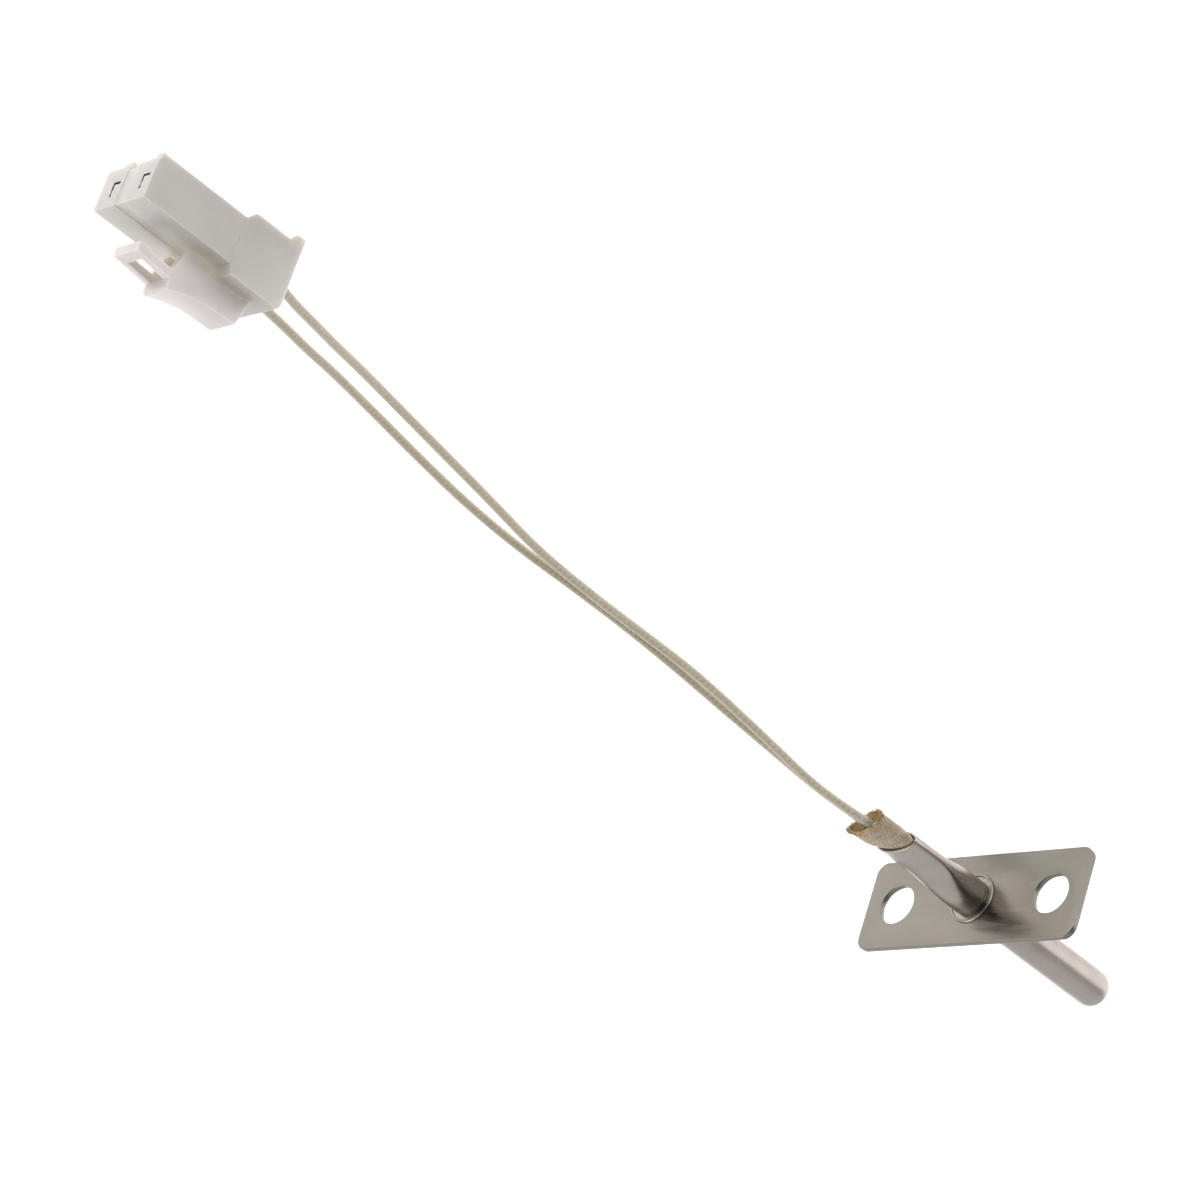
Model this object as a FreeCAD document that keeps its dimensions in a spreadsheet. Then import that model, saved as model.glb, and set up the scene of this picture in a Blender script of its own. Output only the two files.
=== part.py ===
"""Flange-mounted temperature probe with two glass-braided leads and a two-way plug.

Millimetres. The origin is the centre of the flange's mounting face, on the tube's axis. +X runs along the
tube to its closed tip, +Y along the flange's long side, and +Z is up. The probe stands on the flange's
lower long edge, and its plug lies on the same surface, towards -X.
"""

import FreeCAD, Part
import math
import os
import Sketcher

from FreeCAD import Placement, Rotation, Vector

SIZES = {
    # sheath tube
    "tube_radius": 3.0,
    "tube_wall": 0.4,
    "tip_reach": 31.5,
    "press_start": 4.2,
    "mouth_reach": 19.4,
    "mouth_half_wide": 3.9,
    "mouth_half_high": 1.7,
    # flange
    "flange_long": 42.0,
    "flange_short": 14.7,
    "flange_thick": 1.0,
    "flange_corner": 2.0,
    "screw_spacing": 30.0,
    "screw_radius": 3.2,
    "braze_radius": 4.0,
    "braze_height": 0.15,
    "braze_bead": 0.2,
    # inside the sheath
    "element_length": 3.0,
    "element_width": 2.4,
    "element_thick": 1.0,
    "element_start": 25.0,
    "filling_start": 23.5,
    "insulator_radius": 2.5,
    "insulator_start": 5.0,
    "insulator_bore": 0.4,
    "wire_radius": 0.25,
    "pair_offset": 1.1,
    "splice_start": -2.5,
    "splice_end": 3.5,
    "splice_outer": 0.7,
    "splice_inner": 0.45,
    "splice_cover": 0.95,
    # woven sleeve
    "sleeve_end": 26.5,
    "sleeve_start": 14.0,
    "sleeve_half_wide": 3.4,
    "sleeve_half_high": 1.22,
    "sleeve_end_half_wide": 2.9,
    "sleeve_end_half_high": 1.65,
    "sleeve_end_y": -0.8,
    "sleeve_end_roll": -31.0,
    "sleeve_wall": 0.33,
    # leads
    "lead_radius": 0.66,
    "core_radius": 0.38,
    # plug: u runs from its rear to its front, v across it, w up from the surface it lies on
    "plug_rear": -162.6,
    "plug_middle": 13.4,
    "plug_length": 23.4,
    "plug_half": 5.0,
    "tower_start": 7.5,
    "tower_bottom": 3.3,
    "tower_top": 9.1,
    "tower_gap_half": 0.8,
    "web_setback": 0.12,
    "web_bottom": 4.0,
    "web_top": 9.0,
    "rib_bottom": 2.45,
    "rib_setback": 0.3,
    "block_top": 10.4,
    "block_half": 5.1,
    "way_pitch_half": 2.9,
    "way_height": 6.1,
    "cavity_half": 1.65,
    "cavity_bottom": 4.5,
    "cavity_top": 7.9,
    "cavity_start": 10.5,
    "cavity_end": 22.6,
    "passage_half": 1.3,
    # latch
    "latch_half": 2.45,
    "pivot_u": 3.3,
    "pivot_w": 10.7,
    "pivot_radius": 0.5,
    "pivot_clearance": 0.05,
    "window_start": 14.35,
    "window_end": 18.3,
    "window_half": 1.35,
    "hood_start": 12.6,
    "hood_bottom": 9.0,
    "hood_top": 14.35,
    # terminals
    "box_start": 12.2,
    "box_end": 22.5,
    "box_half": 1.5,
    "box_bottom": 4.6,
    "box_top": 7.75,
    "slot_width": 0.32,
    "sheet_thick": 0.25,
    "strip_half": 0.55,
    "core_crimp_start": 7.2,
    "core_crimp_end": 9.4,
    "core_crimp_outer": 0.74,
    "jacket_crimp_start": 4.2,
    "jacket_crimp_end": 5.8,
    "jacket_crimp_outer": 0.91,
    "lead_end_point": 3.6,
    "strip_point": 6.2,
    "core_point": 9.8,
}

# Where the leads' middles leave the woven sleeve.
LEAD_A_EXIT = (-26.5, -1.45, -0.25)
LEAD_B_EXIT = (-26.5, -0.15, 0.20)

# Height of a lead's middle where it lies on the surface.
LAID = -SIZES["flange_short"] / 2 + SIZES["lead_radius"] + 0.04

PLUG_WAY_Z = -SIZES["flange_short"] / 2 + SIZES["way_height"]
FAR_WAY_Y = SIZES["plug_middle"] - SIZES["way_pitch_half"]
NEAR_WAY_Y = SIZES["plug_middle"] + SIZES["way_pitch_half"]
LEAD_END_X = SIZES["plug_rear"] - SIZES["lead_end_point"]

# The two leads' routes from the sleeve's cut end to their stripped ends in the plug, point by point.
LEAD_A_ROUTE = [
    LEAD_A_EXIT,
    (-31.0, -2.05, -0.45),
    (-37.0, -3.3, -1.25),
    (-43.5, -5.4, -3.0),
    (-51.0, -8.3, -5.2),
    (-60.0, -9.4, LAID + 0.15),
    (-71.0, -8.85, LAID),
    (-83.0, -8.65, LAID),
    (-96.0, -9.05, LAID),
    (-108.0, -7.95, LAID),
    (-120.0, -5.65, LAID),
    (-131.5, -3.0, LAID + 0.1),
    (-141.0, 1.15, -5.0),
    (-148.5, 4.85, -3.2),
    (-154.0, 7.4, -2.25),
    (-159.0, 9.3, -1.5),
    (-163.0, FAR_WAY_Y, PLUG_WAY_Z),
    (LEAD_END_X, FAR_WAY_Y, PLUG_WAY_Z),
]
LEAD_B_ROUTE = [
    LEAD_B_EXIT,
    (-31.0, -0.75, 0.15),
    (-37.0, -2.1, -0.65),
    (-43.5, -3.7, -2.5),
    (-51.0, -6.0, -4.9),
    (-60.5, -7.2, LAID + 0.15),
    (-71.5, -7.4, LAID + 0.05),
    (-83.0, -7.25, LAID + 0.1),
    (-94.5, -6.5, LAID),
    (-106.0, -3.75, LAID),
    (-118.0, -1.2, LAID),
    (-130.0, 1.5, LAID + 0.1),
    (-139.5, 5.35, -5.3),
    (-147.0, 9.1, -3.6),
    (-152.8, 12.1, -2.4),
    (-158.2, 14.3, -1.6),
    (-162.8, NEAR_WAY_Y, PLUG_WAY_Z),
    (LEAD_END_X, NEAR_WAY_Y, PLUG_WAY_Z),
]

# Share of the shorter run that an arc of a lead takes up at each side of its point.
ARC_SHARE = 0.45

# How far a lead's volume may be from that of a tube of its length, as a share of it.
VOLUME_TOLERANCE = 0.01

doc = FreeCAD.newDocument("temperature_probe")
sheet = doc.addObject("Spreadsheet::Sheet", "Sizes")
for row, (alias, value) in enumerate(SIZES.items(), start=1):
    sheet.set(f"A{row}", alias.replace("_", " "))
    sheet.set(f"B{row}", str(value))
    sheet.setAlias(f"B{row}", alias)
doc.recompute()

subparts = []


def keep(feature, label):
    """Names a finished sub-part and puts it on the list that is written out."""
    feature.Label = label
    subparts.append(feature)


def named(text):
    """Turns bare size names in an expression into references to the sheet."""
    words = []
    for word in text.split():
        words.append("Sizes." + word if word in SIZES else word)
    return " ".join(words)


def bind(feature, **expressions):
    """Binds properties to expressions. Two underscores stand for a dot in the property's name."""
    for key, text in expressions.items():
        feature.setExpression(key.replace("__", "."), named(text))


def box(name, x_low, x_high, y_low, y_high, z_low, z_high):
    feature = doc.addObject("Part::Box", name)
    bind(feature, Length=f"( {x_high} ) - ( {x_low} )")
    bind(feature, Width=f"( {y_high} ) - ( {y_low} )")
    bind(feature, Height=f"( {z_high} ) - ( {z_low} )")
    bind(feature, Placement__Base__x=x_low)
    bind(feature, Placement__Base__y=y_low)
    bind(feature, Placement__Base__z=z_low)
    return feature


def plug_box(name, u_low, u_high, v_low, v_high, w_low, w_high):
    """A box in the plug's own directions: u from rear to front, v across, w up."""
    return box(
        name,
        f"plug_rear - ( {u_high} )",
        f"plug_rear - ( {u_low} )",
        f"plug_middle + ( {v_low} )",
        f"plug_middle + ( {v_high} )",
        f"( {w_low} ) - flange_short / 2",
        f"( {w_high} ) - flange_short / 2",
    )


def rod(name, radius, x_low, x_high, y="0", z="0"):
    """A round rod along X."""
    feature = doc.addObject("Part::Cylinder", name)
    feature.Placement = Placement(Vector(), Rotation(Vector(0, 1, 0), 90))
    bind(feature, Radius=radius, Height=f"( {x_high} ) - ( {x_low} )")
    bind(feature, Placement__Base__x=x_low)
    bind(feature, Placement__Base__y=y)
    bind(feature, Placement__Base__z=z)
    return feature


def plug_rod(name, radius, u_low, u_high, way):
    """A round rod along one of the plug's two ways."""
    return rod(
        name,
        radius,
        f"plug_rear - ( {u_high} )",
        f"plug_rear - ( {u_low} )",
        f"plug_middle + ( {way} )",
        "way_height - flange_short / 2",
    )


def cut(name, base, tool):
    feature = doc.addObject("Part::Cut", name)
    feature.Base = base
    feature.Tool = tool
    return feature


def common(name, base, tool):
    feature = doc.addObject("Part::Common", name)
    feature.Base = base
    feature.Tool = tool
    return feature


def fuse(name, pieces):
    feature = doc.addObject("Part::MultiFuse", name)
    feature.Shapes = pieces
    feature.Refine = True
    return feature


def ring(name, outer, inner, x_low, x_high, y="0", z="0"):
    """A tube along X."""
    outside = rod(name + "_outside", outer, x_low, x_high, y, z)
    inside = rod(name + "_inside", inner, x_low, x_high, y, z)
    return cut(name, outside, inside)


def plane_of(body, role):
    for feature in body.Origin.OriginFeatures:
        if feature.Role == role:
            return feature
    raise RuntimeError(f"{body.Name} has no {role}")


def sketch_on(body, role, name):
    sketch = body.newObject("Sketcher::SketchObject", name)
    sketch.AttachmentSupport = [(plane_of(body, role), "")]
    sketch.MapMode = "FlatFace"
    return sketch


def pin_coordinate(sketch, kind, edge, expression, value):
    """Ties the start point of an edge to a distance from the sketch's origin."""
    if abs(value) < 1e-9:
        axis = -2 if kind == "DistanceX" else -1
        sketch.addConstraint(Sketcher.Constraint("PointOnObject", edge, 1, axis))
        return
    index = sketch.addConstraint(Sketcher.Constraint(kind, -1, 1, edge, 1, value))
    sketch.setExpression(f"Constraints[{index}]", named(expression))


def evaluate(expression):
    """The value that a size expression has, for a sketch's first guess."""
    probe = doc.addObject("App::FeaturePython", "Probe")
    probe.addProperty("App::PropertyFloat", "Number")
    probe.setExpression("Number", named(expression))
    doc.recompute()
    value = probe.Number
    doc.removeObject(probe.Name)
    return value


def polygon(sketch, corners):
    """A closed outline whose corners are pairs of size expressions."""
    points = [(evaluate(first), evaluate(second)) for first, second in corners]
    count = len(points)
    for index, (across, up) in enumerate(points):
        after = points[(index + 1) % count]
        line = Part.LineSegment(Vector(across, up, 0), Vector(after[0], after[1], 0))
        sketch.addGeometry(line, False)
    for index in range(count):
        after = (index + 1) % count
        sketch.addConstraint(Sketcher.Constraint("Coincident", index, 2, after, 1))
    for index, (first, second) in enumerate(corners):
        pin_coordinate(sketch, "DistanceX", index, first, points[index][0])
        pin_coordinate(sketch, "DistanceY", index, second, points[index][1])


def pad(body, sketch, name, length, midplane):
    feature = body.newObject("PartDesign::Pad", name)
    feature.Profile = sketch
    feature.Midplane = midplane
    bind(feature, Length=length)
    return feature


# Turns a side view, drawn with u to the right and w up, into the plug's place: u to -X, w to +Z, v to +Y.
SIDE_VIEW = Rotation(Vector(-1, 0, 0), Vector(0, 0, 1), Vector(0, 1, 0), "ZXY")


def place_side_view(body):
    body.Placement = Placement(Vector(), SIDE_VIEW)
    bind(body, Placement__Base__x="plug_rear", Placement__Base__y="plug_middle")
    bind(body, Placement__Base__z="0 - flange_short / 2")


# ---------------------------------------------------------------- sheath tube

# The tube's pressed end is drawn through evenly spaced sections. It is fully flattened before its mouth.
PRESSED_STEPS = 10
FLATTENED_BY = 0.6


def flattened_share(step):
    """How far the tube is flattened at a section: 0 where the pressing begins, 1 at the mouth."""
    begun = min(step / PRESSED_STEPS / FLATTENED_BY, 1)
    return begun * begun * (3 - 2 * begun)


def oval(name, x, half_wide, half_high, y="0", roll="0"):
    """An ellipse across X, with its long axis along Y before it is rolled about X."""
    feature = doc.addObject("Part::Ellipse", name)
    across_x = Rotation(Vector(0, 1, 0), Vector(0, 0, 1), Vector(1, 0, 0), "ZXY")
    feature.Placement = Placement(Vector(), Rotation(Vector(1, 0, 0), evaluate(roll)) * across_x)
    bind(feature, MajorRadius=half_wide, MinorRadius=half_high, Placement__Base__x=x, Placement__Base__y=y)
    return feature


def loft(name, sections, ruled):
    feature = doc.addObject("Part::Loft", name)
    feature.Sections = sections
    feature.Solid = True
    feature.Ruled = ruled
    return feature


def sheath_form(name, inset, steps):
    """The tube's outside moved inwards by inset: a domed round bar whose mouth end is pressed to an oval."""
    radius = f"tube_radius - {inset}"
    sections = []
    for step in range(steps + 1):
        x = f"0 - press_start - ( mouth_reach - press_start ) * {step} / {PRESSED_STEPS}"
        share = round(flattened_share(step), 4)
        wide = f"{radius} + {share} * ( mouth_half_wide - tube_radius )"
        high = f"{radius} + {share} * ( mouth_half_high - tube_radius )"
        sections.append(oval(f"{name}_{step}", x, wide, high))
    pressed = loft(f"{name}_pressed", sections, False)
    neck_end = oval(f"{name}_neck_end", "0 - press_start", radius, radius)
    neck = loft(f"{name}_neck", [oval(f"{name}_neck_start", "0", radius, radius), neck_end], True)
    straight = rod(f"{name}_straight", radius, "0", "tip_reach - tube_radius")
    dome = doc.addObject("Part::Sphere", f"{name}_dome")
    bind(dome, Radius=radius, Placement__Base__x="tip_reach - tube_radius")
    form = doc.addObject("Part::MultiFuse", name)
    form.Shapes = [pressed, neck, straight, dome]
    return form


tube_outside = sheath_form("tube_outside", "0", PRESSED_STEPS)
tube_bore = sheath_form("tube_bore", "tube_wall", PRESSED_STEPS + 1)
keep(cut("sheath", tube_outside, tube_bore), "sheath_tube")

# ---------------------------------------------------------------- flange

flange = doc.addObject("PartDesign::Body", "flange")
flange_outline = sketch_on(flange, "YZ_Plane", "flange_outline")
half_long = SIZES["flange_long"] / 2
half_short = SIZES["flange_short"] / 2
flange_corners = [
    Vector(-half_long, -half_short, 0),
    Vector(half_long, -half_short, 0),
    Vector(half_long, half_short, 0),
    Vector(-half_long, half_short, 0),
]
for side, corner in enumerate(flange_corners):
    flange_outline.addGeometry(Part.LineSegment(corner, flange_corners[(side + 1) % 4]), False)
for side in range(4):
    flange_outline.addConstraint(Sketcher.Constraint("Coincident", side, 2, (side + 1) % 4, 1))
for side, kind in enumerate(["Horizontal", "Vertical", "Horizontal", "Vertical"]):
    flange_outline.addConstraint(Sketcher.Constraint(kind, side))
flange_outline.addConstraint(Sketcher.Constraint("Symmetric", 0, 1, 1, 2, -1, 1))
long_side = flange_outline.addConstraint(Sketcher.Constraint("DistanceX", 0, 1, 0, 2, 2 * half_long))
flange_outline.setExpression(f"Constraints[{long_side}]", named("flange_long"))
short_side = flange_outline.addConstraint(Sketcher.Constraint("DistanceY", 1, 1, 1, 2, 2 * half_short))
flange_outline.setExpression(f"Constraints[{short_side}]", named("flange_short"))
flange_pad = pad(flange, flange_outline, "flange_pad", "flange_thick", False)
flange_pad.Reversed = True
doc.recompute()

corner_edges = []
for number, edge in enumerate(flange_pad.Shape.Edges, start=1):
    if abs(abs(edge.tangentAt(edge.FirstParameter).x) - 1) < 1e-6:
        corner_edges.append(f"Edge{number}")
corners_round = flange.newObject("PartDesign::Fillet", "flange_corners")
corners_round.Base = (flange_pad, corner_edges)
bind(corners_round, Radius="flange_corner")
doc.recompute()

flange_holes = sketch_on(flange, "YZ_Plane", "flange_holes")
hole_list = [
    ("0 - screw_spacing / 2", "screw_radius"),
    ("0", "tube_radius"),
    ("screw_spacing / 2", "screw_radius"),
]
for index, (place, radius) in enumerate(hole_list):
    across = evaluate(place)
    hole = Part.Circle(Vector(across, 0, 0), Vector(0, 0, 1), evaluate(radius))
    flange_holes.addGeometry(hole, False)
    flange_holes.addConstraint(Sketcher.Constraint("PointOnObject", index, 3, -1))
    if across == 0:
        flange_holes.addConstraint(Sketcher.Constraint("PointOnObject", index, 3, -2))
    else:
        spot = flange_holes.addConstraint(Sketcher.Constraint("DistanceX", -1, 1, index, 3, across))
        flange_holes.setExpression(f"Constraints[{spot}]", named(place))
    size = flange_holes.addConstraint(Sketcher.Constraint("Radius", index, evaluate(radius)))
    flange_holes.setExpression(f"Constraints[{size}]", named(radius))
punched = flange.newObject("PartDesign::Pocket", "flange_punched")
punched.Profile = flange_holes
punched.Type = 1
punched.Midplane = True
flange.Tip = punched
doc.recompute()
keep(flange, "flange_plate")

# The braze ring is a thin washer round the tube with a raised bead at its rim.
flange_back = "0 - flange_thick"
braze_back = "0 - flange_thick - braze_height"
braze_foot = ring("braze_foot", "braze_radius", "tube_radius", braze_back, flange_back)
bead = doc.addObject("Part::Torus", "braze_bead")
bead.Placement = Placement(Vector(), Rotation(Vector(0, 1, 0), 90))
bind(bead, Radius1="braze_radius - braze_bead", Radius2="braze_bead")
bind(bead, Placement__Base__x=braze_back)
bead_side = rod("bead_side", "braze_radius + 1", "0 - flange_thick - 2", flange_back)
keep(fuse("braze", [braze_foot, common("braze_rim", bead, bead_side)]), "braze_ring")

# ---------------------------------------------------------------- inside the sheath


def element_form(name):
    return box(
        name,
        "element_start",
        "element_start + element_length",
        "0 - element_width / 2",
        "element_width / 2",
        "0 - element_thick / 2",
        "element_thick / 2",
    )


keep(element_form("element"), "sensing_element")

bore_radius = "tube_radius - tube_wall"
filling_rod = rod("filling_rod", bore_radius, "filling_start", "tip_reach - tube_radius")
filling_dome = doc.addObject("Part::Sphere", "filling_dome")
bind(filling_dome, Radius=bore_radius, Placement__Base__x="tip_reach - tube_radius")
filling_form = fuse("filling_form", [filling_rod, filling_dome])
wire_y = "element_width / 4"
wire_rooms = [element_form("element_room")]
for side, sign in (("a", "0 - "), ("b", "0 + ")):
    wire_rooms.append(
        rod(f"wire_room_{side}", "wire_radius", "filling_start - 1", "element_start", f"{sign}{wire_y}")
    )
keep(cut("filling", filling_form, fuse("filling_rooms", wire_rooms)), "tip_filling")

insulator_form = rod("insulator_form", "insulator_radius", "insulator_start", "filling_start")
bores = []
for side, sign in (("a", "0 - "), ("b", "0 + ")):
    bores.append(
        rod(
            f"insulator_bore_{side}",
            "insulator_bore",
            "insulator_start - 1",
            "filling_start + 1",
            f"{sign}{wire_y}",
        )
    )
keep(cut("insulator", insulator_form, fuse("insulator_bores", bores)), "insulator_rod")


def route_tube(name, points, radius, report=False):
    """A round tube along straight runs that tangent arcs join, as large as the runs allow."""
    corners = [Vector(*point) for point in points]
    edges = []
    run_start = corners[0]
    length = 0.0
    radii = []
    for before, corner, after in zip(corners, corners[1:], corners[2:]):
        incoming = (corner - before).normalize()
        outgoing = (after - corner).normalize()
        turn = incoming.getAngle(outgoing)
        reach = ARC_SHARE * min((corner - before).Length, (after - corner).Length)
        arc_start = corner - incoming * reach
        arc_end = corner + outgoing * reach
        arc_radius = reach / math.tan(turn / 2)
        towards = (outgoing - incoming).normalize()
        middle = corner + towards * (arc_radius / math.cos(turn / 2) - arc_radius)
        edges.append(Part.LineSegment(run_start, arc_start).toShape())
        edges.append(Part.Arc(arc_start, middle, arc_end).toShape())
        length += (arc_start - run_start).Length + arc_radius * turn
        radii.append(round(arc_radius, 1))
        run_start = arc_end
    edges.append(Part.LineSegment(run_start, corners[-1]).toShape())
    length += (corners[-1] - run_start).Length
    path = Part.Wire(edges)
    direction = corners[1] - corners[0]
    section = Part.Wire(Part.Circle(corners[0], direction, radius).toShape())
    feature = doc.addObject("Part::Feature", name)
    feature.Shape = path.makePipeShell([section], True, False)
    expected = math.pi * radius**2 * length
    if abs(feature.Shape.Volume - expected) > VOLUME_TOLERANCE * expected:
        raise RuntimeError(f"{name}: volume {feature.Shape.Volume:.2f}, expected {expected:.2f}")
    if report:
        print(f"{name}: length {length:.1f} mm, arc radii {radii}")
    return feature


pair = SIZES["pair_offset"]
wire_offset = SIZES["element_width"] / 4

# Along X: where an element wire starts in its splice, where it turns inwards and where it is straight again.
WIRE_START = SIZES["splice_end"] - 2.4
WIRE_BEND = SIZES["splice_end"] - 1
WIRE_STRAIGHT = SIZES["insulator_start"] + 0.3

# The leads' hidden ends carry straight on into the sleeve, close up in the pressed mouth and part again.
TAIL_STRAIGHT = 3.5
TAIL_CLOSE_X = -17.0
TAIL_CLOSE_Y = 0.72
TAIL_APART_X = -9.0

for side, sign, lead_route in (("a", -1, LEAD_A_ROUTE), ("b", 1, LEAD_B_ROUTE)):
    wire_points = [
        (WIRE_START, sign * pair, 0),
        (WIRE_BEND, sign * pair, 0),
        (WIRE_STRAIGHT, sign * wire_offset, 0),
        (SIZES["element_start"], sign * wire_offset, 0),
    ]
    keep(route_tube(f"wire_{side}", wire_points, SIZES["wire_radius"]), f"element_wire_{side}")
    barrel = ring(
        f"barrel_{side}",
        "splice_outer",
        "splice_inner",
        "splice_start + 1",
        "splice_end - 1",
        f"{sign} * pair_offset",
    )
    keep(barrel, f"splice_barrel_{side}")
    cover = ring(
        f"cover_{side}",
        "splice_cover",
        "splice_outer",
        "splice_start",
        "splice_end",
        f"{sign} * pair_offset",
    )
    keep(cover, f"splice_sleeve_{side}")
    leaving = (Vector(*lead_route[0]) - Vector(*lead_route[1])).normalize()
    tail_points = [
        lead_route[0],
        tuple(Vector(*lead_route[0]) + leaving * TAIL_STRAIGHT),
        (TAIL_CLOSE_X, sign * TAIL_CLOSE_Y, 0),
        (TAIL_APART_X, sign * pair, 0),
        (SIZES["splice_start"], sign * pair, 0),
    ]
    keep(route_tube(f"tail_{side}", tail_points, SIZES["lead_radius"]), f"lead_{side}_inner_end")
    bared = rod(
        f"bared_{side}",
        "core_radius",
        "splice_start",
        "splice_start + 3",
        f"{sign} * pair_offset",
    )
    keep(bared, f"lead_{side}_bared_core")

# ---------------------------------------------------------------- woven sleeve


def sleeve_form(name, inset, beyond):
    """The sleeve's outside moved inwards by inset: an oval hose that rolls and opens towards its cut end."""
    inner_end = f"0 - sleeve_start + {beyond}"
    cut_end = f"0 - sleeve_end - {beyond}"
    wide = f"sleeve_half_wide - {inset}"
    high = f"sleeve_half_high - {inset}"
    end_wide = f"sleeve_end_half_wide - {inset}"
    end_high = f"sleeve_end_half_high - {inset}"
    sections = [
        oval(f"{name}_inner_end", inner_end, wide, high),
        oval(f"{name}_mouth", "0 - mouth_reach", wide, high),
        oval(f"{name}_cut_end", cut_end, end_wide, end_high, "sleeve_end_y", "sleeve_end_roll"),
    ]
    return loft(name, sections, True)


hose_outside = sleeve_form("hose_outside", "0", "0")
hose_inside = sleeve_form("hose_inside", "sleeve_wall", "1")
keep(cut("hose", hose_outside, hose_inside), "woven_sleeve")

# ---------------------------------------------------------------- leads

keep(route_tube("free_lead_a", LEAD_A_ROUTE, SIZES["lead_radius"], report=True), "lead_a")
keep(route_tube("free_lead_b", LEAD_B_ROUTE, SIZES["lead_radius"], report=True), "lead_b")

# ---------------------------------------------------------------- plug housing

block = doc.addObject("PartDesign::Body", "rear_block")
block_view = sketch_on(block, "XY_Plane", "block_view")
polygon(
    block_view,
    [
        ("0", "0"),
        ("1.4", "0"),
        ("2.2", "1.15"),
        ("7.9", "1.15"),
        ("8.9", "rib_bottom"),
        ("8.9", "tower_top"),
        ("8.2", "block_top"),
        ("0.4", "block_top"),
        ("0", "block_top - 0.5"),
    ],
)
block.Tip = pad(block, block_view, "block_pad", "2 * block_half", True)
place_side_view(block)
doc.recompute()

towers = []
for name, u_high, v_low, v_high, w_low, w_high in (
    ("far_tower", "plug_length", "0 - plug_half", "0 - tower_gap_half", "tower_bottom", "tower_top"),
    ("near_tower", "plug_length", "tower_gap_half", "plug_half", "tower_bottom", "tower_top"),
    ("tower_web", "plug_length - web_setback", "0 - tower_gap_half", "tower_gap_half", "web_bottom", "web_top"),
    ("far_rib", "plug_length - rib_setback", "-2.5", "0 - tower_gap_half", "rib_bottom", "4"),
    ("near_rib", "plug_length - rib_setback", "3.6", "plug_half", "rib_bottom", "4"),
):
    towers.append(plug_box(name, "tower_start", u_high, v_low, v_high, w_low, w_high))
housing_form = fuse("housing_form", [block] + towers)

# The openings in the plug's front, across and up from the middle of each way: low and high, low and high.
FRONT_SLOTS = [
    ("0.2", "1.5", "0 - 0.6", "slot_width - 0.6"),
    ("0.2", "slot_width + 0.2", "0 - 0.6", "0.5"),
    ("0.25", "0.4", "0.4", "1.2"),
    ("0.2", "0.5", "1.1", "1.45"),
]

hollows = []
for side, way in (("far", "0 - way_pitch_half"), ("near", "way_pitch_half")):
    hollows.append(
        plug_box(
            f"{side}_cavity",
            "cavity_start",
            "cavity_end",
            f"{way} - cavity_half",
            f"{way} + cavity_half",
            "cavity_bottom",
            "cavity_top",
        )
    )
    hollows.append(
        plug_box(
            f"{side}_passage",
            "-1",
            "cavity_start + 1",
            f"{way} - passage_half",
            f"{way} + passage_half",
            "way_height - passage_half",
            "way_height + passage_half",
        )
    )
    # The front wall is open only at an angled slot, with a slit and a small hole above it.
    for number, (v_low, v_high, w_low, w_high) in enumerate(FRONT_SLOTS):
        hollows.append(
            plug_box(
                f"{side}_slot_{number}",
                "cavity_end - 0.5",
                "plug_length + 1",
                f"{way} + {v_low}",
                f"{way} + {v_high}",
                f"way_height + {w_low}",
                f"way_height + {w_high}",
            )
        )
groove = doc.addObject("Part::Cylinder", "latch_groove")
groove.Placement = Placement(Vector(), Rotation(Vector(1, 0, 0), -90))
bind(groove, Radius="pivot_radius + pivot_clearance", Height="2 * latch_half + 0.4")
bind(groove, Placement__Base__x="plug_rear - pivot_u")
bind(groove, Placement__Base__y="plug_middle - latch_half - 0.2")
bind(groove, Placement__Base__z="pivot_w - flange_short / 2")
hollows.append(groove)
keep(cut("housing", housing_form, fuse("housing_hollows", hollows)), "plug_housing")

# ---------------------------------------------------------------- latch arm

arm = doc.addObject("PartDesign::Body", "latch_arm")
arm_view = sketch_on(arm, "XY_Plane", "arm_view")
polygon(
    arm_view,
    [
        ("pivot_u - 0.35", "pivot_w"),
        ("3.0", "12.2"),
        ("3.5", "14.2"),
        ("8.1", "14.3"),
        ("11.5", "15.0"),
        ("13.9", "15.8"),
        ("14.25", "15.6"),
        ("14.4", "14.45"),
        ("19.95", "13.95"),
        ("19.95", "12.65"),
        ("18.6", "12.65"),
        ("18.4", "13.0"),
        ("14.5", "13.2"),
        ("13.2", "9.75"),
        ("9.6", "9.75"),
        ("9.3", "10.9"),
        ("4.4", "10.75"),
        ("pivot_u + 0.35", "pivot_w"),
    ],
)
arm_pad = pad(arm, arm_view, "arm_pad", "2 * latch_half", True)
doc.recompute()
window_view = sketch_on(arm, "XZ_Plane", "window_view")
polygon(
    window_view,
    [
        ("window_start", "0 - window_half"),
        ("window_end", "0 - window_half"),
        ("window_end", "window_half"),
        ("window_start", "window_half"),
    ],
)
arm_window = arm.newObject("PartDesign::Pocket", "arm_window")
arm_window.Profile = window_view
arm_window.Type = 1
arm_window.Midplane = True
arm.Tip = arm_window
place_side_view(arm)
doc.recompute()
roll = doc.addObject("Part::Cylinder", "latch_roll")
roll.Placement = Placement(Vector(), Rotation(Vector(1, 0, 0), -90))
bind(roll, Radius="pivot_radius", Height="2 * latch_half")
bind(roll, Placement__Base__x="plug_rear - pivot_u")
bind(roll, Placement__Base__y="plug_middle - latch_half")
bind(roll, Placement__Base__z="pivot_w - flange_short / 2")
# The window carries on under the raised part of the latch.
hood = plug_box(
    "hood_room",
    "hood_start",
    "window_start + 0.1",
    "0 - window_half",
    "window_half",
    "hood_bottom",
    "hood_top",
)
keep(cut("latch", fuse("latch_solid", [arm, roll]), hood), "plug_latch")

# ---------------------------------------------------------------- terminals and stripped lead ends

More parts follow.
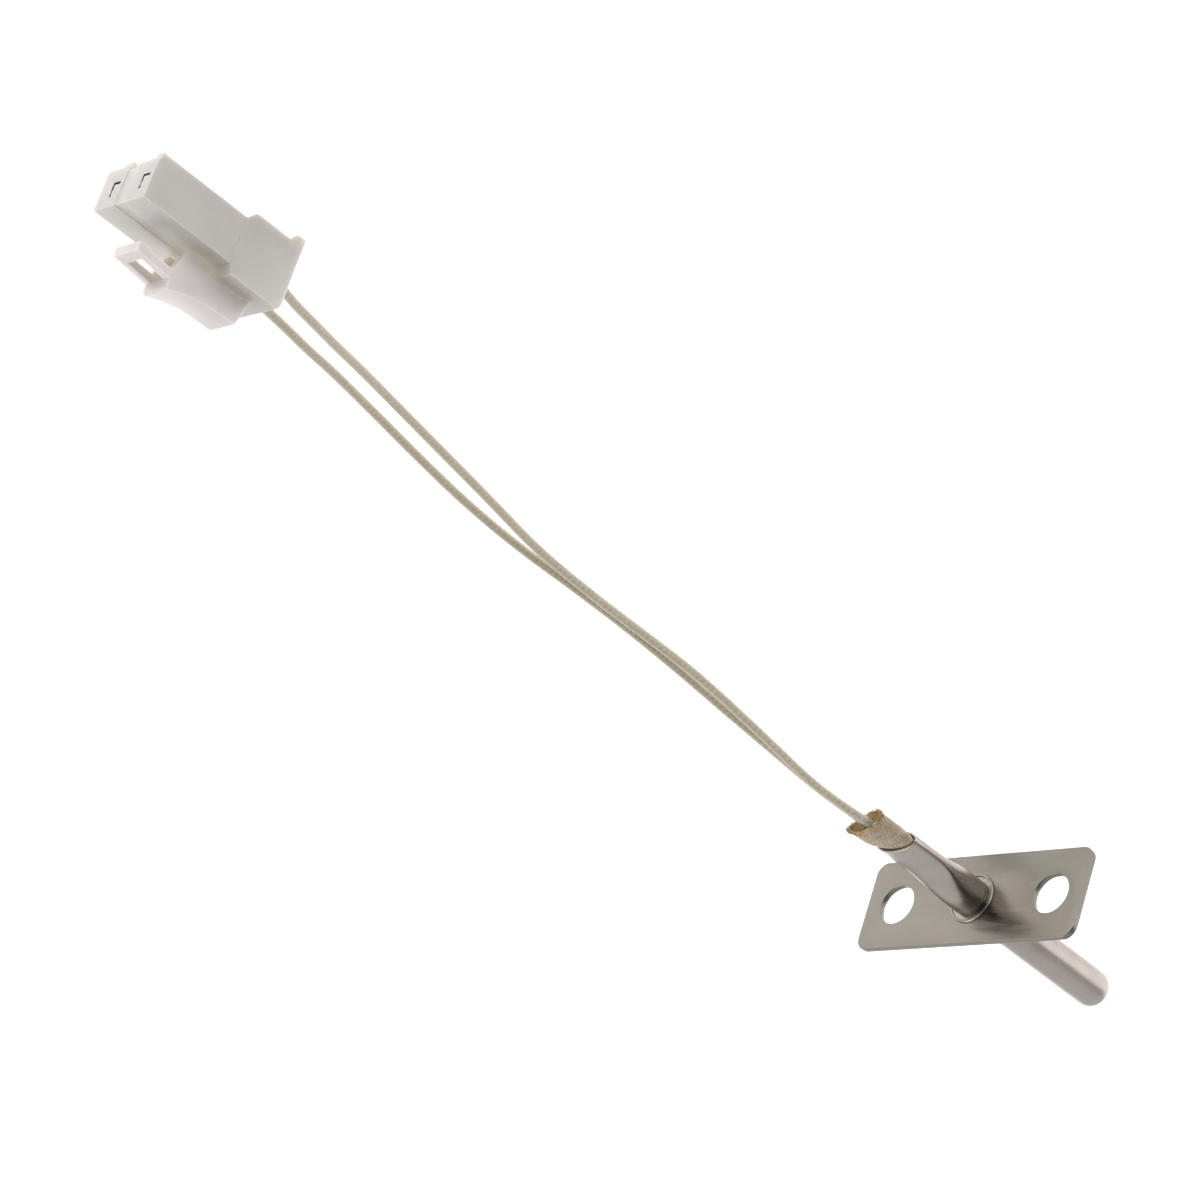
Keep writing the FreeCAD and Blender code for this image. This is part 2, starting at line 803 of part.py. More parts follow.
for side, way in (("a", "0 - way_pitch_half"), ("b", "way_pitch_half")):
    shell = plug_box(
        f"shell_{side}",
        "box_start",
        "box_end",
        f"{way} - box_half",
        f"{way} + box_half",
        "box_bottom",
        "box_top",
    )
    room = plug_box(
        f"room_{side}",
        "box_start - 1",
        "box_end + 1",
        f"{way} - box_half + sheet_thick",
        f"{way} + box_half - sheet_thick",
        "box_bottom + sheet_thick",
        "box_top - sheet_thick",
    )
    spring = plug_box(
        f"spring_{side}",
        "box_start + 1",
        "box_end - 2",
        f"{way} - strip_half",
        f"{way} + strip_half",
        "box_bottom + sheet_thick / 2",
        "box_bottom + 2.5 * sheet_thick",
    )
    strip = plug_box(
        f"strip_{side}",
        "jacket_crimp_start",
        "box_start + 0.5",
        f"{way} - strip_half",
        f"{way} + strip_half",
        "way_height - jacket_crimp_outer",
        "way_height - lead_radius",
    )
    riser = plug_box(
        f"riser_{side}",
        "box_start",
        "box_start + sheet_thick",
        f"{way} - strip_half",
        f"{way} + strip_half",
        "box_bottom",
        "way_height - lead_radius",
    )
    crimps = []
    for crimp, inner in (("core_crimp", "core_radius"), ("jacket_crimp", "lead_radius")):
        wrap = plug_rod(f"{crimp}_{side}", f"{crimp}_outer", f"{crimp}_start", f"{crimp}_end", way)
        hole = plug_rod(f"{crimp}_hole_{side}", inner, f"{crimp}_start - 1", f"{crimp}_end + 1", way)
        crimps.append(cut(f"{crimp}_ring_{side}", wrap, hole))
    contact = fuse(f"contact_{side}", [cut(f"tunnel_{side}", shell, room), strip, riser, spring] + crimps)
    keep(contact, f"terminal_{side}")
    jacket = plug_rod(f"jacket_{side}", "lead_radius", "lead_end_point", "strip_point", way)
    core = plug_rod(f"core_{side}", "core_radius", "strip_point", "core_point", way)
    keep(fuse(f"stripped_{side}", [jacket, core]), f"lead_{side}_plug_end")

# ---------------------------------------------------------------- checks and files

doc.recompute()
for feature in doc.Objects:
    if "Invalid" in feature.State or "Error" in feature.State:
        raise RuntimeError(f"{feature.Name} failed: {feature.State}")
os.makedirs("parts", exist_ok=True)
for feature in subparts:
    shape = feature.Shape
    if shape.isNull() or not shape.isValid() or not shape.Solids:
        raise RuntimeError(f"{feature.Label} has no valid solid")
    if len(feature.Label) >= 60:
        raise RuntimeError(f"{feature.Label} is too long a name")
    shape.exportStep(os.path.join("parts", feature.Label + ".step"))
    print(f"{feature.Label}: {len(shape.Solids)} solid, {shape.Volume:.2f} mm3")
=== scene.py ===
"""Flange-mounted temperature probe with two glass-braided leads and a two-way plug: the looks."""

import math
import random

import bmesh
import bpy
from mathutils import Matrix, Vector


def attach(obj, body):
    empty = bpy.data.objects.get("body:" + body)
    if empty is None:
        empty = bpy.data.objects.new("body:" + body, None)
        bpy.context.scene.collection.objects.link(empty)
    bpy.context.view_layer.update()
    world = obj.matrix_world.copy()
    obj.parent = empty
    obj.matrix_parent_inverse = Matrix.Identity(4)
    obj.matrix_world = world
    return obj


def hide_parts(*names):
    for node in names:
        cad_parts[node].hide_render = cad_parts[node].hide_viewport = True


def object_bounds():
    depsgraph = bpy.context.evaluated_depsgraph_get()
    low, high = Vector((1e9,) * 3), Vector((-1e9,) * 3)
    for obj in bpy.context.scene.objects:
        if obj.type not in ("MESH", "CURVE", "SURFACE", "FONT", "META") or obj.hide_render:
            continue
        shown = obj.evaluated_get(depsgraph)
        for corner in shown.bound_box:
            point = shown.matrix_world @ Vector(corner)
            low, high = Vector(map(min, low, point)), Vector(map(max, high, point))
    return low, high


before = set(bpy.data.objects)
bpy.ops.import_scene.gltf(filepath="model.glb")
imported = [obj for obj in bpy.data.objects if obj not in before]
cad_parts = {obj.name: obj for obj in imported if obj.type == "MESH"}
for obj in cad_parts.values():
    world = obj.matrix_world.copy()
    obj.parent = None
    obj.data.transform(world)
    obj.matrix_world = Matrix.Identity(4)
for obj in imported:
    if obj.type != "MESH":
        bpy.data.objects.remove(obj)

cad_low, cad_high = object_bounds()

MM = 0.001

# ---------------------------------------------------------------- camera

# The camera that was fitted to the photograph: angles in degrees, lens and sensor in millimetres.
CAMERA_AIM = Vector((-59.1, -33.9, -22.3)) * MM
CAMERA_DISTANCE = 594.2 * MM
CAMERA_AZIMUTH = 218.5
CAMERA_ELEVATION = 24.6
CAMERA_ROLL = 161.3
CAMERA_LENS = 120.0
CAMERA_SENSOR = 36.0
CAMERA_NEAREST = 10 * MM


def direction(azimuth, elevation):
    """The direction from the object towards a place at that azimuth and elevation, in degrees."""
    turn = math.radians(azimuth)
    lift = math.radians(elevation)
    return Vector((math.sin(turn) * math.cos(lift), -math.cos(turn) * math.cos(lift), math.sin(lift)))


def make_camera():
    """The photograph's camera, turned about its line of sight as the photograph is."""
    roll = math.radians(CAMERA_ROLL)
    back = direction(CAMERA_AZIMUTH, CAMERA_ELEVATION)
    level_right = Vector((0, 0, 1)).cross(back).normalized()
    level_up = back.cross(level_right)
    up = level_up * math.cos(roll) + level_right * math.sin(roll)
    right = up.cross(back)
    data = bpy.data.cameras.new("camera")
    data.lens = CAMERA_LENS
    data.sensor_width = CAMERA_SENSOR
    data.clip_start = CAMERA_NEAREST
    camera = bpy.data.objects.new("camera", data)
    place = Matrix.Translation(CAMERA_AIM + back * CAMERA_DISTANCE)
    camera.matrix_world = place @ Matrix((right, up, back)).transposed().to_4x4()
    bpy.context.scene.collection.objects.link(camera)
    bpy.context.scene.camera = camera


make_camera()

# ---------------------------------------------------------------- leads

# The leads, in millimetres, but for their length, which is in metres. LAID is the height of a lead's middle
# where it lies a hair above the floor.
LEAD_RADIUS = 0.66
FLOOR_HEIGHT = -7.35
LEAD_CLEARANCE = 0.04
LAID = FLOOR_HEIGHT + LEAD_RADIUS + LEAD_CLEARANCE
PLUG_WAY_Z = -1.25

# The points that control each lead's line, from the sleeve's cut end into the plug, in millimetres.
LEAD_A_ROUTE = [
    (-26.5, -1.45, -0.25),
    (-31.0, -2.05, -0.45),
    (-37.0, -3.3, -1.25),
    (-43.5, -5.4, -3.0),
    (-51.0, -8.3, -5.2),
    (-60.0, -9.4, LAID + 0.15),
    (-71.0, -8.85, LAID),
    (-83.0, -8.65, LAID),
    (-96.0, -9.05, LAID),
    (-108.0, -7.95, LAID),
    (-120.0, -5.65, LAID),
    (-131.5, -3.0, LAID + 0.1),
    (-141.0, 1.15, -5.0),
    (-148.5, 4.85, -3.2),
    (-154.0, 7.4, -2.25),
    (-159.0, 9.3, -1.5),
    (-163.0, 10.5, PLUG_WAY_Z),
    (-166.2, 10.5, PLUG_WAY_Z),
]
LEAD_B_ROUTE = [
    (-26.5, -0.15, 0.20),
    (-31.0, -0.75, 0.15),
    (-37.0, -2.1, -0.65),
    (-43.5, -3.7, -2.5),
    (-51.0, -6.0, -4.9),
    (-60.5, -7.2, LAID + 0.15),
    (-71.5, -7.4, LAID + 0.05),
    (-83.0, -7.25, LAID + 0.1),
    (-94.5, -6.5, LAID),
    (-106.0, -3.75, LAID),
    (-118.0, -1.2, LAID),
    (-130.0, 1.5, LAID + 0.1),
    (-139.5, 5.35, -5.3),
    (-147.0, 9.1, -3.6),
    (-152.8, 12.1, -2.4),
    (-158.2, 14.3, -1.6),
    (-162.8, 16.3, PLUG_WAY_Z),
    (-166.2, 16.3, PLUG_WAY_Z),
]

# The leads' braid: bundles each way round, how fast they wind, how far they stand out, and how finely the
# braid is drawn, round the lead and along it.
BRAID_BUNDLES = 6
BRAID_TURN_PER_MM = 1.05
BRAID_RELIEF = 0.055
BRAID_AROUND = 36
BRAID_STEP = 0.12

# How sharply one bundle passes over another where they cross.
CROSSING_SHARPNESS = 6

# The kind of smooth line that a route's points control, and how finely it is drawn before its points are
# spaced evenly.
ROUTE_ORDER = 3
ROUTE_FINENESS = 48


def smooth_path(name, route):
    """The points of the smooth line that a route's points control, evenly spaced, in millimetres."""
    data = bpy.data.curves.new(name, "CURVE")
    data.dimensions = "3D"
    data.resolution_u = ROUTE_FINENESS
    spline = data.splines.new("NURBS")
    spline.points.add(len(route) - 1)
    for point, place in zip(spline.points, route):
        point.co = (*place, 1)
    spline.order_u = ROUTE_ORDER
    spline.use_endpoint_u = True
    line = bpy.data.objects.new(name, data)
    bpy.context.scene.collection.objects.link(line)
    bpy.context.view_layer.update()
    drawn = bpy.data.meshes.new_from_object(line.evaluated_get(bpy.context.evaluated_depsgraph_get()))
    fine = [vertex.co.copy() for vertex in drawn.vertices]
    bpy.data.objects.remove(line)
    bpy.data.curves.remove(data)
    bpy.data.meshes.remove(drawn)
    spaced = [fine[0]]
    travelled = 0.0
    for before, after in zip(fine, fine[1:]):
        piece = (after - before).length
        while travelled + piece >= BRAID_STEP:
            share = (BRAID_STEP - travelled) / piece
            before = before.lerp(after, share)
            piece = (after - before).length
            travelled = 0.0
            spaced.append(before.copy())
        travelled += piece
    spaced.append(fine[-1])
    return spaced


def across_path(points):
    """Two directions across a path at each point, carried along it without twisting."""
    side = Vector((0, 0, 1))
    pairs = []
    for index in range(len(points)):
        ahead = points[min(index + 1, len(points) - 1)] - points[max(index - 1, 0)]
        ahead.normalize()
        side = (side - ahead * side.dot(ahead)).normalized()
        pairs.append((side, ahead.cross(side)))
    return pairs


def braid_height(angle, along, bundles, winding):
    """How high a braid stands at a place on it, and how far its first bundle is on top, both 0 to 1."""
    first = bundles * (angle - winding * along) / 2
    second = bundles * (angle + winding * along) / 2
    over = math.cos(first) * math.cos(second)
    share = 0.5 + 0.5 * math.tanh(CROSSING_SHARPNESS * over)
    height = math.cos(first) ** 2 * share + math.cos(second) ** 2 * (1 - share)
    return height, share


def ring_faces(first, rings, around):
    """The faces of a tube whose rings of vertices follow one another from the vertex first on."""
    faces = []
    for ring in range(rings - 1):
        low = first + ring * around
        high = low + around
        for step in range(around):
            after = (step + 1) % around
            faces.append((low + step, low + after, high + after, high + step))
    return faces


def mesh_piece(name, vertices, faces):
    """A smooth-shaded mesh object from places in millimetres."""
    data = bpy.data.meshes.new(name)
    data.from_pydata([Vector(vertex) * MM for vertex in vertices], [], faces)
    data.polygons.foreach_set("use_smooth", [True] * len(data.polygons))
    data.update()
    piece = bpy.data.objects.new(name, data)
    bpy.context.scene.collection.objects.link(piece)
    return piece


def paint(piece, name, values):
    """Stores one number for each of a piece's vertices, for its material to read."""
    attribute = piece.data.attributes.new(name, "FLOAT", "POINT")
    attribute.data.foreach_set("value", values)


def braided_lead(name, route, material):
    """One lead, drawn as a braid along its route, in the place of its CAD node."""
    path = smooth_path(name + "_line", route)
    vertices = []
    strands = []
    for index, (middle, (side, other)) in enumerate(zip(path, across_path(path))):
        for step in range(BRAID_AROUND):
            angle = math.tau * step / BRAID_AROUND
            height, share = braid_height(angle, index * BRAID_STEP, BRAID_BUNDLES, BRAID_TURN_PER_MM)
            radius = LEAD_RADIUS - BRAID_RELIEF + BRAID_RELIEF * height
            vertices.append(middle + (side * math.cos(angle) + other * math.sin(angle)) * radius)
            # Painted shade: this is low between the bundles and where a bundle passes under the other.
            strands.append((share + height) / 2)
    faces = ring_faces(0, len(path), BRAID_AROUND)
    faces.append(tuple(reversed(range(BRAID_AROUND))))
    faces.append(tuple(range(len(vertices) - BRAID_AROUND, len(vertices))))
    piece = mesh_piece(name + "_braid", vertices, faces)
    paint(piece, "strand", strands)
    piece.data.materials.append(material)
    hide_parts(name)
    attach(piece, "probe")


# ---------------------------------------------------------------- materials

OCCLUSION_SAMPLES = 8


class Surface:
    """A material and the few kinds of node that the surfaces here are made of."""

    def __init__(self, name):
        self.material = bpy.data.materials.new(name)
        self.material.use_nodes = True
        self.nodes = self.material.node_tree.nodes
        self.links = self.material.node_tree.links
        self.shader = self.nodes["Principled BSDF"]
        self.place = self.nodes.new("ShaderNodeTexCoord").outputs["Object"]

    def set(self, **values):
        """Sets constants on the shader. An underscore stands for a space in a socket's name."""
        for key, value in values.items():
            self.shader.inputs[key.replace("_", " ")].default_value = value

    def stretched(self, stretch):
        """The place on the object, with each axis multiplied by its share of stretch."""
        mapping = self.nodes.new("ShaderNodeMapping")
        mapping.inputs["Scale"].default_value = stretch
        self.links.new(self.place, mapping.inputs["Vector"])
        return mapping.outputs["Vector"]

    def noise(self, scale, detail=4.0, stretch=(1, 1, 1)):
        """Noise whose features are about one scale-th of a metre."""
        texture = self.nodes.new("ShaderNodeTexNoise")
        texture.inputs["Scale"].default_value = scale
        texture.inputs["Detail"].default_value = detail
        self.links.new(self.stretched(stretch), texture.inputs["Vector"])
        return texture.outputs["Fac"]

    def spread(self, value, low, high, to_low=0.0, to_high=1.0):
        """Turns the span low to high of a value into the span to_low to to_high."""
        ranged = self.nodes.new("ShaderNodeMapRange")
        ranged.inputs["From Min"].default_value = low
        ranged.inputs["From Max"].default_value = high
        ranged.inputs["To Min"].default_value = to_low
        ranged.inputs["To Max"].default_value = to_high
        self.links.new(value, ranged.inputs["Value"])
        return ranged.outputs["Result"]

    def attribute(self, name):
        """The numbers that paint stored under that name."""
        reader = self.nodes.new("ShaderNodeAttribute")
        reader.attribute_name = name
        return reader.outputs["Fac"]

    def shelter(self, distance):
        """1 where the surface is open, towards 0 where other surfaces shut it in within that distance."""
        occlusion = self.nodes.new("ShaderNodeAmbientOcclusion")
        occlusion.inputs["Distance"].default_value = distance
        occlusion.samples = OCCLUSION_SAMPLES
        return occlusion.outputs["AO"]

    def mixed(self, share, first, second):
        """A colour between two, each a colour or a socket."""
        mix = self.nodes.new("ShaderNodeMix")
        mix.data_type = "RGBA"
        self.links.new(share, mix.inputs["Factor"])
        for key, colour in (("A", first), ("B", second)):
            socket = [s for s in mix.inputs if s.name == key and s.type == "RGBA"][0]
            if isinstance(colour, tuple):
                socket.default_value = (*colour, 1)
            else:
                self.links.new(colour, socket)
        return [s for s in mix.outputs if s.type == "RGBA"][0]

    def colour(self, socket):
        """Takes the surface's colour from a socket."""
        self.links.new(socket, self.shader.inputs["Base Color"])

    def glow(self, strength):
        """A painted glow, standing in for the light that comes through a see-through wall."""
        self.links.new(strength, self.shader.inputs["Emission Strength"])

    def roughness(self, socket):
        """Takes the surface's roughness from a socket."""
        self.links.new(socket, self.shader.inputs["Roughness"])

    def bump(self, heights):
        """Bumps the surface by a list of (height socket, depth in metres)."""
        normal = None
        for socket, depth in heights:
            bump = self.nodes.new("ShaderNodeBump")
            bump.inputs["Strength"].default_value = 1.0
            bump.inputs["Distance"].default_value = depth
            self.links.new(socket, bump.inputs["Height"])
            if normal is not None:
                self.links.new(normal, bump.inputs["Normal"])
            normal = bump.outputs["Normal"]
        self.links.new(normal, self.shader.inputs["Normal"])


def steel_tube():
    """Drawn tube: fine scratches along it, duller patches, and painted shade where it is nearly shut in."""
    surface = Surface("steel_tube")
    surface.set(Metallic=1.0)
    bright = (0.46, 0.415, 0.38)
    dull = (0.40, 0.36, 0.332)
    painted_crevice_shade = (0.06, 0.045, 0.035)
    lines = surface.noise(900, 6, (0.04, 1, 1))
    patches = surface.noise(260, 3)
    drawn = surface.mixed(surface.spread(patches, 0.35, 0.7), bright, dull)
    # Painted shade: the colour goes near black where other surfaces shut the tube in.
    open_air = surface.spread(surface.shelter(1.2 * MM), 0.3, 0.8)
    surface.colour(surface.mixed(open_air, painted_crevice_shade, drawn))
    surface.roughness(surface.spread(lines, 0.3, 0.7, 0.24, 0.35))
    surface.bump([(lines, 0.003 * MM), (patches, 0.003 * MM)])
    return surface.material


def steel_plate():
    """Rolled sheet: a satin grain along the plate's long side, faint stains and small pits."""
    surface = Surface("steel_plate")
    surface.set(Metallic=1.0)
    clean = (0.235, 0.216, 0.187)
    stained = (0.213, 0.197, 0.171)
    grain = surface.noise(1500, 4, (1, 0.12, 1))
    stains = surface.noise(120, 4)
    pits = surface.noise(3200, 2)
    surface.colour(surface.mixed(surface.spread(stains, 0.3, 0.7), clean, stained))
    surface.roughness(surface.spread(grain, 0.25, 0.75, 0.26, 0.36))
    surface.bump([(grain, 0.002 * MM), (surface.spread(pits, 0.62, 0.75), 0.002 * MM)])
    return surface.material


def braze():
    """Brazing metal, with a slightly rippled skin."""
    surface = Surface("braze")
    surface.set(Metallic=1.0)
    light = (0.34, 0.32, 0.285)
    dark = (0.28, 0.262, 0.233)
    ripples = surface.noise(1500, 3)
    surface.colour(surface.mixed(surface.spread(ripples, 0.35, 0.65), light, dark))
    surface.roughness(surface.spread(ripples, 0.3, 0.7, 0.24, 0.38))
    surface.bump([(ripples, 0.012 * MM)])
    return surface.material


def tinned():
    """Tin-plated brass sheet, with the yellow showing through in worn patches."""
    surface = Surface("tinned")
    surface.set(Metallic=1.0)
    plating = (0.66, 0.63, 0.58)
    brass = (0.60, 0.50, 0.34)
    wear = surface.noise(1400, 4)
    surface.colour(surface.mixed(surface.spread(wear, 0.45, 0.7), plating, brass))
    surface.roughness(surface.spread(wear, 0.3, 0.7, 0.22, 0.38))
    surface.bump([(wear, 0.006 * MM)])
    return surface.material


def matt(name, light, dark):
    """A matt, fine-grained surface, such as fired ceramic."""
    surface = Surface(name)
    grain = surface.noise(2600, 5)
    specks = surface.noise(900, 2)
    surface.colour(surface.mixed(surface.spread(specks, 0.4, 0.7), light, dark))
    surface.roughness(surface.spread(grain, 0.3, 0.7, 0.6, 0.85))
    surface.bump([(grain, 0.015 * MM)])
    return surface.material


def drawn_wire():
    """Drawn metal wire, with fine lines along it."""
    surface = Surface("drawn_wire")
    surface.set(Metallic=1.0)
    bright = (0.60, 0.59, 0.56)
    dull = (0.48, 0.46, 0.42)
    lines = surface.noise(2500, 4, (0.05, 1, 1))
    surface.colour(surface.mixed(surface.spread(lines, 0.3, 0.7), bright, dull))
    surface.roughness(surface.spread(lines, 0.3, 0.7, 0.25, 0.4))
    surface.bump([(lines, 0.004 * MM)])
    return surface.material


def nylon(name, light, shade):
    """Moulded uncoloured nylon: milky and faintly grained, with a painted yellower tint and a painted glow
    in its hollows, for the light that comes through its walls.
    """
    surface = Surface(name)
    surface.set(IOR=1.53)
    surface.set(Subsurface_Weight=0.8, Subsurface_Radius=(1.0, 0.93, 0.85), Subsurface_Scale=1.4 * MM)
    painted_hollow_tint = (0.60, 0.565, 0.49)
    strongest_painted_glow = 0.21
    cloud = surface.noise(170, 3)
    grain = surface.noise(3000, 3)
    sheltered = surface.shelter(3.5 * MM)
    milky = surface.mixed(surface.spread(cloud, 0.3, 0.7), light, shade)
    # Painted light: the colour turns yellower where the nylon is shut in.
    surface.colour(surface.mixed(surface.spread(sheltered, 0.25, 0.95), painted_hollow_tint, milky))
    # Painted glow in the hollows, strongest where the nylon is most shut in.
    surface.set(Emission_Color=(0.78, 0.75, 0.70, 1))
    surface.glow(surface.spread(sheltered, 0.15, 0.85, strongest_painted_glow, 0))
    surface.roughness(surface.spread(grain, 0.3, 0.7, 0.36, 0.5))
    surface.bump([(grain, 0.005 * MM), (cloud, 0.05 * MM)])
    return surface.material


def lead_braid():
    """Varnished glass yarn: olive bundles with paler and pinker stretches, and painted shade between the
    bundles.
    """
    surface = Surface("lead_braid")
    surface.set(Sheen_Weight=0.15, Sheen_Roughness=0.5)
    olive = (0.50, 0.46, 0.315)
    pinker = (0.53, 0.445, 0.36)
    paler = (0.62, 0.58, 0.47)
    painted_shade_between_bundles = (0.37, 0.325, 0.225)
    strand = surface.attribute("strand")
    stretches = surface.noise(230, 3)
    yarns = surface.noise(2200, 4)
    tone = surface.mixed(surface.spread(stretches, 0.38, 0.62), olive, pinker)
    bundle = surface.mixed(surface.spread(yarns, 0.35, 0.7), tone, paler)
    # Painted shade between the bundles.
    surface.colour(surface.mixed(surface.spread(strand, 0.0, 0.55), painted_shade_between_bundles, bundle))
    surface.roughness(surface.spread(yarns, 0.3, 0.7, 0.45, 0.65))
    surface.bump([(yarns, 0.02 * MM)])
    return surface.material


def woven_glass():
    """Woven glass hose, browned towards its cut end, with painted shade between the bundles."""
    surface = Surface("woven_glass")
    surface.set(Sheen_Weight=0.2, Sheen_Roughness=0.4)
    surface.set(Subsurface_Weight=0.6, Subsurface_Radius=(1.0, 0.9, 0.75), Subsurface_Scale=1.0 * MM)
    pale = (0.60, 0.50, 0.39)
    blotched = (0.47, 0.37, 0.26)
    painted_shade_between_bundles = (0.30, 0.22, 0.14)
    browned = (0.40, 0.26, 0.105)
    fray = surface.attribute("fray")
    yarn = surface.attribute("yarn")
    blotch = surface.noise(900, 4)
    threads = surface.noise(3500, 4)
    bundle = surface.mixed(surface.spread(blotch, 0.35, 0.65), pale, blotched)
    # Painted shade between the bundles.
    woven = surface.mixed(surface.spread(yarn, 0.0, 0.6), painted_shade_between_bundles, bundle)
    surface.colour(surface.mixed(fray, woven, browned))
    surface.roughness(surface.spread(threads, 0.3, 0.7, 0.5, 0.75))
    surface.bump([(threads, 0.03 * MM)])
    return surface.material


def frayed_yarn():
    """Loose browned glass yarn."""
    surface = Surface("frayed_yarn")
    surface.set(Sheen_Weight=0.3)
    golden = (0.52, 0.37, 0.19)
    brown = (0.36, 0.23, 0.09)
    tone = surface.noise(1300, 3)
    surface.colour(surface.mixed(surface.spread(tone, 0.35, 0.65), golden, brown))
    surface.roughness(surface.spread(tone, 0.3, 0.7, 0.45, 0.7))
    surface.bump([(tone, 0.01 * MM)])
    return surface.material


plate_steel = steel_plate()
tube_steel = steel_tube()
tin = tinned()
wire = drawn_wire()
glass_hose = woven_glass()
housing_nylon = nylon("housing_nylon", (0.575, 0.548, 0.518), (0.54, 0.512, 0.482))
# The latch's nylon is a lighter copy of the housing's: painted light on the plug's top.
latch_nylon_painted_light = nylon("latch_nylon_painted_light", (0.70, 0.655, 0.64), (0.66, 0.615, 0.60))
lead_glass = lead_braid()
# A near-black material for the walls of the plug's slits: painted shade.
slit_painted_shade = matt("slit_painted_shade", (0.03, 0.022, 0.016), (0.02, 0.015, 0.011))

# ---------------------------------------------------------------- CAD parts with softened edges

# Points nearer than this, in millimetres, become one point. Edges turning less than the flat angle are left
# out of the copy, and edges turning more than the sharp angle are rounded, in degrees.
SAME_POINT = 0.002
FLAT_ANGLE = 0.5
SHARP_ANGLE = 35.0
ROUNDING_SEGMENTS = 3


def softened(node, width, body, material):
    """A copy of a CAD node with its sharp edges rounded to that width, in millimetres, in its place."""
    mesh = bmesh.new()
    mesh.from_mesh(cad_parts[node].data)
    bmesh.ops.remove_doubles(mesh, verts=mesh.verts, dist=SAME_POINT * MM)
    bmesh.ops.dissolve_limit(
        mesh,
        angle_limit=math.radians(FLAT_ANGLE),
        verts=mesh.verts,
        edges=mesh.edges,
    )
    data = bpy.data.meshes.new(node + "_softened")
    mesh.to_mesh(data)
    mesh.free()
    data.polygons.foreach_set("use_smooth", [True] * len(data.polygons))
    data.materials.clear()
    data.materials.append(material)
    piece = bpy.data.objects.new(node + "_softened", data)
    bpy.context.scene.collection.objects.link(piece)
    rounding = piece.modifiers.new("rounding", "BEVEL")
    rounding.width = width * MM
    rounding.segments = ROUNDING_SEGMENTS
    rounding.limit_method = "ANGLE"
    rounding.angle_limit = math.radians(SHARP_ANGLE)
    rounding.harden_normals = True
    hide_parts(node)
    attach(piece, body)
    return piece


softened("flange_plate", 0.1, "probe", plate_steel)
softened("sheath_tube", 0.08, "probe", tube_steel)
plug_housing = softened("plug_housing", 0.22, "probe", housing_nylon)
on_the_leads = [
    plug_housing,
    softened("plug_latch", 0.18, "latch", latch_nylon_painted_light),
    softened("terminal_a", 0.05, "probe", tin),
    softened("terminal_b", 0.05, "probe", tin),
    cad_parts["lead_a_plug_end"],
    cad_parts["lead_b_plug_end"],
]

# The plug's front plane, its wall's thickness, how far behind that plane a slit's walls are at least, the
# middles of the two ways, and how far the slits reach from them, in millimetres.
PLUG_FRONT = -186.0
PLUG_FRONT_WALL = 0.8
PLUG_FRONT_CLEARANCE = 0.01
PLUG_WAYS_Y = (10.5, 16.3)
SLIT_REACH = 1.6


def paint_slit_shade(housing):
    """Gives the walls of the slits in the plug's front a near-black material of their own: painted shade in
    the slits.
    """
    housing.data.materials.append(slit_painted_shade)
    for face in housing.data.polygons:
        x, y, z = face.center / MM
        in_front_wall = PLUG_FRONT + PLUG_FRONT_CLEARANCE < x < PLUG_FRONT + PLUG_FRONT_WALL
        near_a_way = any(abs(y - way) < SLIT_REACH for way in PLUG_WAYS_Y)
        if in_front_wall and near_a_way and abs(z - PLUG_WAY_Z) < SLIT_REACH:
            face.material_index = 1


paint_slit_shade(plug_housing)

braided_lead("lead_a", LEAD_A_ROUTE, lead_glass)
braided_lead("lead_b", LEAD_B_ROUTE, lead_glass)

# ---------------------------------------------------------------- other CAD parts

cement = matt("cement", (0.72, 0.70, 0.64), (0.62, 0.60, 0.55))
ceramic = matt("ceramic", (0.82, 0.80, 0.75), (0.74, 0.71, 0.66))

# What the CAD nodes that are shown as they are, are made of.
FINISHES = {
    "braze_ring": braze(),
    "tip_filling": cement,
    "sensing_element": ceramic,
    "insulator_rod": ceramic,
    "element_wire_a": wire,
    "element_wire_b": wire,
    "splice_barrel_a": tin,
    "splice_barrel_b": tin,
    "splice_sleeve_a": glass_hose,
    "splice_sleeve_b": glass_hose,
    "lead_a_bared_core": wire,
    "lead_b_bared_core": wire,
    "lead_a_inner_end": lead_glass,
    "lead_b_inner_end": lead_glass,
    "lead_a_plug_end": lead_glass,
    "lead_b_plug_end": lead_glass,
}
for node, material in FINISHES.items():
    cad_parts[node].data.materials.clear()
    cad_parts[node].data.materials.append(material)

# ---------------------------------------------------------------- woven sleeve

# The hose, in millimetres: its end inside the tube, the tube's mouth, its cut end, how much farther its two
# sides reach there, its wall, and how finely it is drawn, round it and along it.
SLEEVE_START = -14.5
SLEEVE_MOUTH = -19.4
SLEEVE_END = -25.6
SLEEVE_FAR_EAR = 0.65
SLEEVE_NEAR_EAR = -0.25
SLEEVE_WALL = 0.3
SLEEVE_AROUND = 168
SLEEVE_STEP = 0.14

# The hose's oval outline in the tube's mouth and at its cut end, where it is also rolled about the tube's
# axis, by degrees.
SLEEVE_MOUTH_HALF_WIDE = 3.36
SLEEVE_END_HALF_WIDE = 2.78
SLEEVE_MOUTH_HALF_HIGH = 1.18
SLEEVE_END_HALF_HIGH = 1.6
SLEEVE_MOUTH_Y = -0.08
SLEEVE_END_Y = -0.8
SLEEVE_ROLL = -31.0

# The hose's weave: bundles each way round, how fast they wind, and how far they stand out.
WEAVE_BUNDLES = 28
WEAVE_TURN_PER_MM = 0.16
WEAVE_RELIEF = 0.09

# How much of a yarn's painted shade is its height, the rest being which bundle is on top.
SHADE_BY_HEIGHT = 0.6

